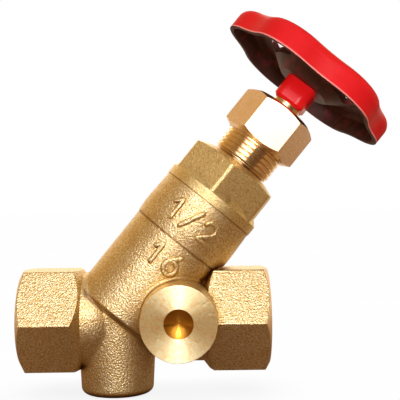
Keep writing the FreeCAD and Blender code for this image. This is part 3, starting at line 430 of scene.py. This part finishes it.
def make_piece(name, mesh_data, body, material, smooth=None):
    """Put a bmesh into the scene as a piece that rides on a body.

    Edges that turn by more than smooth degrees are sharp; with None, none is.
    """
    mesh = bpy.data.meshes.new(name)
    bmesh.ops.recalc_face_normals(mesh_data, faces=mesh_data.faces)
    mesh_data.to_mesh(mesh)
    mesh_data.free()
    mesh.materials.append(material)
    piece = bpy.data.objects.new(name, mesh)
    bpy.context.scene.collection.objects.link(piece)
    for face in mesh.polygons:
        face.use_smooth = True
    if smooth is not None:
        mark_sharp(mesh, math.radians(smooth))
    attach(piece, body)


def mark_sharp(mesh, limit):
    work = bmesh.new()
    work.from_mesh(mesh)
    for edge in work.edges:
        if len(edge.link_faces) == 2 and edge.calc_face_angle(0) > limit:
            edge.smooth = False
    work.to_mesh(mesh)
    work.free()


def angles_of(count):
    """Equal steps round a full turn."""
    return [2 * math.pi * k / count for k in range(count)]


def ring_of(work, place, radius, station, count):
    """Vertices round the local Z axis; radius is a function of the angle."""
    ring = []
    for angle in angles_of(count):
        point = Vector((radius(angle) * math.cos(angle), radius(angle) * math.sin(angle), station))
        ring.append(work.verts.new(place @ point))
    return ring


def bridge(work, first, second):
    """Faces between two rings of equal count; where a ring is one point, they are triangles."""
    count = len(first)
    for k in range(count):
        after = (k + 1) % count
        corners = []
        for vertex in (first[k], first[after], second[after], second[k]):
            if vertex not in corners:
                corners.append(vertex)
        if len(corners) > 2:
            work.faces.new(corners)


def close(work, rings):
    """Bridge each ring to the next, and the last to the first."""
    for first, second in zip(rings, rings[1:] + rings[:1]):
        bridge(work, first, second)


def screw_thread(name, place, base, crest, start, end, pitch, fade, body, slot, material,
                 root=0.12, flank=0.76, sunk=0.25, rows_per_pitch=12):
    """Single-start thread: a ridge from base to crest radius that winds about local Z.

    Lengths are in millimetres.  Root and flank are shares of half a pitch; the crest has the
    rest.  The ridge fades out over a distance at each end.  The back of the piece lies sunk below
    its base, inside the metal that carries it, so the piece is a closed shell.
    """
    base, crest, start, end, pitch, fade, sunk = (
        length * MM for length in (base, crest, start, end, pitch, fade, sunk))
    outward = 1 if crest > base else -1
    back = base - outward * sunk
    clear = outward * 0.01 * MM                # keeps the roots off the metal below
    columns = 120
    rows = int(round((end - start) / pitch * rows_per_pitch))
    work = bmesh.new()

    def height(station, angle):
        phase = (station / pitch - angle / (2 * math.pi)) % 1.0
        ridge = 1 - abs(2 * phase - 1)
        ridge = min(max((ridge - root) / flank, 0.0), 1.0)
        inset = min(station - start, end - station)
        return ridge * min(max(inset / fade, 0.0), 1.0)

    rings = [ring_of(work, place, lambda angle: back, start, columns)]
    for row in range(rows + 1):
        station = start + (end - start) * row / rows
        rings.append(ring_of(
            work, place,
            lambda angle: base + (crest - base) * height(station, angle) + clear,
            station, columns))
    rings.append(ring_of(work, place, lambda angle: back, end, columns))
    close(work, rings)
    make_piece(name, work, body, material, smooth=30)


def lathe(name, place, profile, body, material, smooth):
    """Closed ring turned about local Z from (radius, station) corners in millimetres."""
    count = 128
    work = bmesh.new()
    rings = []
    for radius, station in profile:
        if radius == 0:
            rings.append([work.verts.new(place @ Vector((0, 0, station * MM)))] * count)
        else:
            rings.append(ring_of(work, place, lambda angle: radius * MM, station * MM, count))
    close(work, rings)
    make_piece(name, work, body, material, smooth)


HEX_FLATS = 26.0                               # outlet hexagon across flats, in millimetres
HEX_CORNER = 0.6                               # radius of its corners


def hexagon_radius(angle):
    """Radius of the rounded outlet hexagon, in millimetres, with a flat facing local X."""
    off_flat = abs((math.degrees(angle) + 30) % 60 - 30)
    on_flat = HEX_FLATS / 2 / math.cos(math.radians(off_flat))
    centre = (HEX_FLATS / 2 - HEX_CORNER) / math.cos(math.radians(30))
    off_corner = math.radians(30 - off_flat)
    inside = HEX_CORNER ** 2 - (centre * math.sin(off_corner)) ** 2
    if inside <= 0:
        return on_flat
    return min(on_flat, centre * math.cos(off_corner) + math.sqrt(inside))


def add_outlet_shoulder():
    """Inner end of the outlet hexagon, coned down to the tube behind the front boss."""
    start, end = 47.8, 54.0                    # along the pipe, in millimetres
    tube = 11.5
    sunk = 0.4
    below_flats = 0.01                         # keeps the far end inside the solid's hexagon
    slope = math.tan(math.radians(38))
    angles = angles_of(360)
    outside = [hexagon_radius(angle) for angle in angles]
    rows = [[(radius, start)] * len(angles) for radius in (tube - sunk, tube)]
    for share in (0.5, 1.0):
        rows.append([(tube + (r - tube) * share, start + (r - tube) * share * slope)
                     for r in outside])
    rows.append([(r - below_flats, end) for r in outside])
    rows.append([(tube - sunk, end)] * len(angles))
    work = bmesh.new()
    rings = []
    for row in rows:
        rings.append([
            work.verts.new(INLET @ Vector((r * math.cos(angle), r * math.sin(angle), x)) * MM)
            for angle, (r, x) in zip(angles, row)])
    close(work, rings)
    make_piece("outlet_shoulder", work, "housing", MATERIALS["cast_brass"],
               smooth=20)


# G 1/2 in the pipe ends, and G 3/8 on the neck, in millimetres
PIPE_THREAD = {"base": 10.478, "crest": 9.316, "start": 0.35, "end": 12.3, "pitch": 1.814,
               "fade": 1.6, "material": MATERIALS["turned_brass"]}
NECK_THREAD = {"base": 7.90, "crest": 8.33, "start": 52.9, "end": 59.8, "pitch": 1.337,
               "fade": 0.7, "material": NECK_BRASS, "root": 0.02, "flank": 0.34, "sunk": 0.7,
               "rows_per_pitch": 24}
THREADS = [("inlet_thread", INLET, PIPE_THREAD), ("outlet_thread", OUTLET, PIPE_THREAD),
           ("neck_thread", STEM, NECK_THREAD)]

# turned face with its drill point, closed behind inside the boss
BOSS_PROFILE = [(9.30, -0.4), (9.38, 0.0), (9.30, 0.03), (3.70, 0.03), (3.62, -0.01), (0, -2.13),
                (0, -2.6), (3.9, -0.5)]

for name, place, form in THREADS:
    screw_thread(name, place, body="housing", slot="turned_brass", **form)
add_outlet_shoulder()
lathe("front_boss_face", BOSS, BOSS_PROFILE, "housing", BOSS_BRASS, smooth=15)


# ---------------------------------------------------------------- raised marks on the barrel

# the barrel and its collar in profile: station and radius, in millimetres
BARREL = [(0.0, 13.3), (26.5, 13.3), (26.6, 13.5), (29.5, 13.75), (32.0, 13.75), (39.2, 13.45)]


def barrel_radius(station):
    for (low, first), (high, second) in zip(BARREL, BARREL[1:]):
        if station <= high * MM:
            share = (station - low * MM) / ((high - low) * MM)
            return (first + (second - first) * share) * MM
    return BARREL[-1][1] * MM


def barrel_point(across, along, lift):
    """A point over the barrel: across is arc length from the front line, along the station."""
    radius = barrel_radius(along)
    angle = across / radius - math.pi / 2
    radius += lift
    return STEM @ Vector((radius * math.cos(angle), radius * math.sin(angle), along))


def squared(value):
    """Push a sine or cosine towards its ends, so that a circle turns into a rounded square."""
    return math.copysign(abs(value) ** 0.65, value)


def stroke(work, points, width, height):
    """Raised stroke with rounded back and ends, sunk a little into the barrel."""
    sections = []
    for index, point in enumerate(points):
        before = points[max(index - 1, 0)]
        after = points[min(index + 1, len(points) - 1)]
        ahead = (after - before).normalized()
        sections.append((point, Vector((-ahead.y, ahead.x)), 1.0))
    start = (points[0] - points[1]).normalized()
    end = (points[-1] - points[-2]).normalized()
    first_side = sections[0][1]
    last_side = sections[-1][1]
    # round each end with two smaller sections, at shares of half the width beyond it
    for reach, scale in ((0.7, 0.72), (0.95, 0.3)):
        sections.insert(0, (points[0] + start * width / 2 * reach, first_side, scale))
        sections.append((points[-1] + end * width / 2 * reach, last_side, scale))
    rings = []
    for point, side, scale in sections:
        ring = []
        for angle in angles_of(12):
            across = point + side * (width / 2 * scale * squared(math.cos(angle)))
            lift = height * scale * squared(math.sin(angle))
            ring.append(work.verts.new(barrel_point(across.x, across.y, lift)))
        rings.append(ring)
    for first, second in zip(rings, rings[1:]):
        bridge(work, first, second)
    work.faces.new(rings[0])
    work.faces.new(list(reversed(rings[-1])))


def arc(centre, radius, start, end, steps):
    points = []
    for k in range(steps + 1):
        angle = math.radians(start + (end - start) * k / steps)
        points.append((centre[0] + radius * math.cos(angle),
                       centre[1] + radius * math.sin(angle)))
    return points


def dense(line, spacing=0.35 * MM):
    """Extra points along straight runs, so that they follow the barrel."""
    points = [Vector(line[0])]
    for start, end in zip(line, line[1:]):
        start, end = Vector(start), Vector(end)
        steps = max(1, int((end - start).length / spacing))
        for k in range(1, steps + 1):
            points.append(start.lerp(end, k / steps))
    return points


# plain figures, 5.5 mm high, as lines in millimetres: across the barrel, and up from their foot
HALF_INCH = [
    [(-7.4, 4.0), (-5.6, 5.5), (-5.6, 0.0)],                                        # 1
    [(-2.4, -0.2), (0.6, 5.7)],                                                     # bar
    arc((4.6, 3.75), 1.75, 165, -38, 12) + [(2.9, 0.0), (6.9, 0.0)],                # 2
]
SIXTEEN = [
    [(-3.9, 4.0), (-2.5, 5.5), (-2.5, 0.0)],                                        # 1
    [(3.5, 5.5), (1.5, 3.4)] + arc((2.5, 1.75), 1.75, 150, 510, 20),                # 6
]
STROKE_WIDTH = 1.3 * MM
STROKE_HEIGHT = 0.55 * MM


def add_figures(name, lines, station):
    """Figures cast on the front of the barrel, with their foot at a station."""
    work = bmesh.new()
    for line in lines:
        placed = [(x * MM, (station + y) * MM) for x, y in line]
        stroke(work, dense(placed), STROKE_WIDTH, STROKE_HEIGHT)
    make_piece(name, work, "housing", MATERIALS["cast_brass"])


add_figures("size_figures", HALF_INCH, 30.4)
add_figures("rating_figures", SIXTEEN, 18.5)


# ---------------------------------------------------------------- stage, light and camera

def add_floor(height):
    """Pale paper: white to the camera but for the contact shadow, dim in the brass's reflections."""
    n = Material("floor_paper")
    # what the camera sees
    mottle = n.noise(n.place(), 0.02, detail=1.0)
    paper = n.blend(mottle, (1.0, 1.0, 1.0), (0.985, 0.985, 0.985))
    contact = n.fit(n.open_air(14 * MM), 0.0, 1.0, 0.86, 1.0)
    seen = n.add("ShaderNodeEmission", Color=n.blend(contact, (0.0, 0.0, 0.0), paper))
    # what the brass reflects, in millimetres from the valve: warm and dim, darker at the front
    # right, and pale behind
    away = n.radius((0, 0, 1), (40 * MM, 0, 0))
    depth = n.along(*DEPTH_AXIS)
    dim = n.blend(n.fit(away, 50, 150), (0.22, 0.13, 0.07), (0.46, 0.33, 0.19))
    corner = n.times(n.fit(depth, -85, -120), n.fit(n.along(*PIPE_AXIS), 85, 115))
    dim = n.blend(corner, dim, (0.10, 0.055, 0.03))
    reflected = n.blend(n.fit(depth, 85, 140), dim, (0.95, 0.92, 0.86))
    n.finish(reflected, roughness=0.9, metallic=0.0)
    choose = n.tree.nodes.new("ShaderNodeMixShader")
    for index, socket in enumerate((n.camera_ray(), n.shader.outputs[0], seen.outputs[0])):
        n.put(choose.inputs[index], socket)
    n.put(n.output.inputs["Surface"], choose.outputs[0])
    mesh = bpy.data.meshes.new("floor")
    size = 200.0
    mesh.from_pydata([(-size, -size, height), (size, -size, height), (size, size, height),
                      (-size, size, height)], [], [(0, 1, 2, 3)])
    mesh.materials.append(n.material)
    floor = bpy.data.objects.new("floor", mesh)
    bpy.context.scene.collection.objects.link(floor)


# direction, angles from it where the glow is full and where it ends (degrees), and its light
GLOWS = [
    ((0.00, -0.20, 1.00), 20, 45, (0.20, 0.23, 0.26)),      # ceiling
    ((0.00, 1.00, 0.00), 12, 60, (0.66, 0.67, 0.70)),       # backdrop
    ((-0.10, 1.00, 0.10), 45, 80, (0.30, 0.20, 0.09)),      # and its warm edge
    ((-0.80, 0.20, 0.58), 10, 48, (0.14, 0.09, 0.03)),      # warm wall, upper left
    ((0.90, 0.42, 0.05), 10, 35, (0.50, 0.45, 0.36)),       # pale wall, right
    ((0.20, -0.98, 0.00), 8, 34, (0.50, 0.37, 0.20)),       # warm wall behind the camera
    ((0.00, -0.92, 0.40), 14, 32, (1.9, 1.95, 2.2)),        # frontal softbox
    ((0.00, -0.92, 0.40), 3, 10, (16.0, 16.0, 17.5)),       # and its bright middle
]
ROOM_LOW = (0.17, 0.098, 0.042)
ROOM_HIGH = (0.34, 0.20, 0.08)


def add_world():
    """Studio: a dim warm room with pale walls, a white backdrop and one frontal softbox.

    The camera itself sees plain white.
    """
    world = bpy.data.worlds.new("studio")
    bpy.context.scene.world = world
    world.use_nodes = True
    n = Nodes(world.node_tree)
    heading = n.coordinate("Generated")
    total = n.blend(n.fit(n.dot(heading, (0, 0, 1)), -0.7, 0.3), ROOM_LOW, ROOM_HIGH)
    for direction, full, end, light in GLOWS:
        glow = n.fit(n.dot(heading, Vector(direction).normalized()), math.cos(math.radians(end)),
                     math.cos(math.radians(full)), interpolation="SMOOTHSTEP")
        total = n.vector_math("ADD", n.vector_math("MULTIPLY", light, glow), total)
    background = n.tree.nodes["Background"]
    n.put(background.inputs["Color"], n.blend(n.camera_ray(), total, (1.0, 1.0, 1.0)))


def add_lamp(name, kind, position, target, power):
    """A lamp that is aimed at a point."""
    light = bpy.data.lights.new(name, kind)
    light.energy = power
    lamp = bpy.data.objects.new(name, light)
    lamp.location = position
    aim = Vector(target) - Vector(position)
    lamp.rotation_euler = aim.to_track_quat("-Z", "Y").to_euler()
    bpy.context.scene.collection.objects.link(lamp)
    return lamp


def add_softbox(name, position, target, size, power, colour=(1, 1, 1)):
    lamp = add_lamp(name, "AREA", position, target, power)
    lamp.data.shape = "RECTANGLE"
    lamp.data.size, lamp.data.size_y = size
    lamp.data.color = colour
    lamp.visible_camera = False


def add_spot(name, position, target, power):
    """Narrow frontal lamp that fills the handwheel's paint and leaves no glint on the brass."""
    lamp = add_lamp(name, "SPOT", position, target, power)
    lamp.data.spot_size = math.radians(11)
    lamp.data.spot_blend = 0.3
    lamp.data.shadow_soft_size = 0.04
    lamp.visible_glossy = False


# fitted to the photograph
CAMERA_POSITION = Vector((44.90, -212.02, 28.14)) * MM
CAMERA_LENS = 71.05
YAW, PITCH, ROLL = 0.0111, 0.0147, -0.0119     # radians


def add_camera():
    """The view of the photograph: level with the barrel, straight at the side boss."""
    camera = bpy.data.cameras.new("camera")
    camera.sensor_width = 36.0
    camera.lens = CAMERA_LENS
    camera.clip_start = 0.005
    body = bpy.data.objects.new("camera", camera)
    ahead = Vector((math.sin(YAW) * math.cos(PITCH), math.cos(YAW) * math.cos(PITCH),
                    math.sin(PITCH)))
    level = Vector((math.cos(YAW), -math.sin(YAW), 0))
    upright = level.cross(ahead)
    right = level * math.cos(ROLL) + upright * math.sin(ROLL)
    up = -level * math.sin(ROLL) + upright * math.cos(ROLL)
    turn = Matrix((right, up, -ahead)).transposed().to_4x4()
    body.matrix_world = Matrix.Translation(CAMERA_POSITION) @ turn
    bpy.context.scene.collection.objects.link(body)
    bpy.context.scene.camera = body


FLOOR_GAP = 0.02 * MM
VALVE_MIDDLE = (0.040, 0, 0.030)
WHEEL_MIDDLE = (0.073, 0, 0.060)

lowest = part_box("body")[0][2]
add_floor(lowest - FLOOR_GAP)
add_world()
add_softbox("key", (0.02, -0.40, 0.50), VALVE_MIDDLE, (0.40, 0.24), 0.22, (1.0, 0.985, 0.96))
add_softbox("back", (0.05, 0.55, 0.40), VALVE_MIDDLE, (0.6, 0.3), 0.6)
add_spot("fill", (0.07, -0.45, 0.03), WHEEL_MIDDLE, 3.6)
add_camera()
scene = bpy.context.scene
scene.view_settings.view_transform = "Standard"
scene.view_settings.look = "None"
